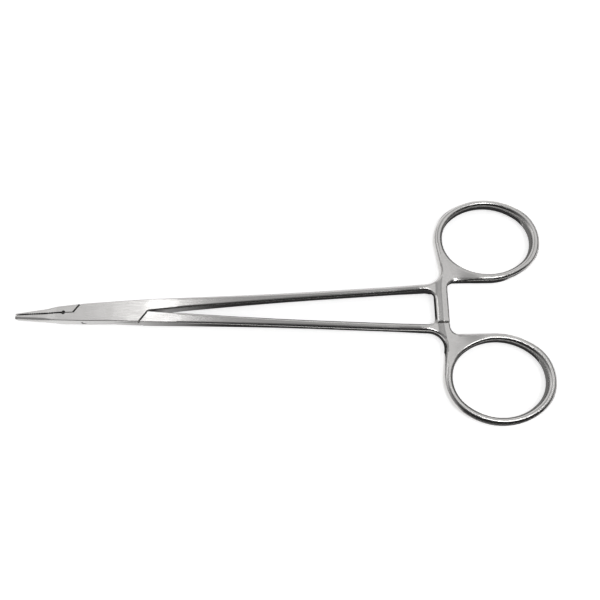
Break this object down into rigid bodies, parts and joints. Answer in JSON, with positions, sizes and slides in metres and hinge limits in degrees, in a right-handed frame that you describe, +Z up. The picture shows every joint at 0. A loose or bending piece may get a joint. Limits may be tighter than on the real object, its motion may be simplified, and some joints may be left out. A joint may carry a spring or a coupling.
{
  "type": "surgical needle holder",
  "caption": "Straight ring-handled needle holder with a box lock, tapered cross-serrated jaws and a ratchet between its shanks.",
  "frame": {"origin": "on the box lock's pivot axis, in the plane of the box's underside", "axes": "+X from the pivot to the finger rings, +Y toward the female half's ring, +Z up out of the box's upper face"},
  "size_m": [0.159, 0.0694, 0.0046],
  "materials": {
    "satin_steel": "satin"
  },
  "bodies": {
    "female": {"female_half": "satin_steel", "pivot_pin": "satin_steel"},
    "male": {"male_half": "satin_steel"}
  },
  "joints": [
    {"name": "box_lock_hinge", "type": "hinge", "parent": "female", "child": "male", "pos_m": [0, 0, 0], "axis": [0, 0, -1], "range_deg": [0, 60]}
  ]
}
